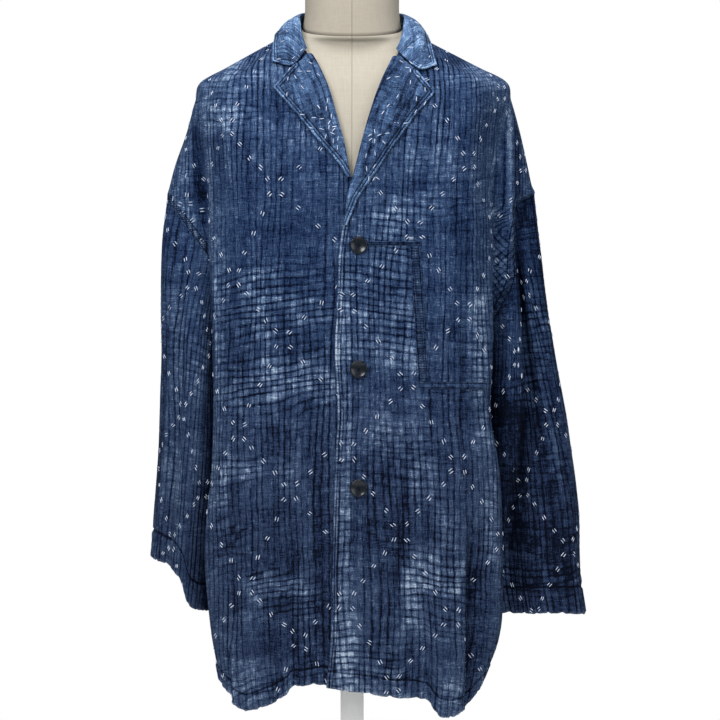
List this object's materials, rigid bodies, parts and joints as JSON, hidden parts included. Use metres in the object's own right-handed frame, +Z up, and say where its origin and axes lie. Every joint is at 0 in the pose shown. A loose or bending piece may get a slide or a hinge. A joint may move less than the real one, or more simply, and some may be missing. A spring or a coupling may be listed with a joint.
{
  "type": "sashiko shirt jacket on a dress form",
  "caption": "Loose hip-length shirt jacket with a notched lapel, dropped shoulders and a buttoned front, in stitched double cloth, worn on a limbless dress form on a pole and round base.",
  "frame": {"origin": "middle of the round base's underside, on the floor", "axes": "+Z up; the jacket's front faces -Y, so its wearer's left is +X"},
  "size_m": [0.528, 0.3, 1.0471],
  "materials": {
    "indigo_cloth": "washed indigo crinkled double cloth, white running-stitch lattice",
    "faded_cloth": "faded reverse of the same cloth, with the lattice's back stitches",
    "linen": "plain linen stretched over the form",
    "neck_linen": "plain linen, slightly darker",
    "dark_button": "polished dark resin",
    "white_paint": "satin white paint"
  },
  "bodies": {
    "root": {"front_right": "indigo_cloth", "front_left": "indigo_cloth", "back": "indigo_cloth", "sleeve_right": "indigo_cloth", "sleeve_left": "indigo_cloth", "band_chest": "indigo_cloth", "band_side": "indigo_cloth", "pocket_mouth": "indigo_cloth", "collar": "faded_cloth", "lapel_right": "faded_cloth", "lapel_left": "faded_cloth", "button_top": "dark_button", "button_middle": "dark_button", "button_low": "dark_button", "form_torso": "linen", "form_neck": "neck_linen", "pole": "white_paint", "base": "white_paint"}
  },
  "joints": []
}
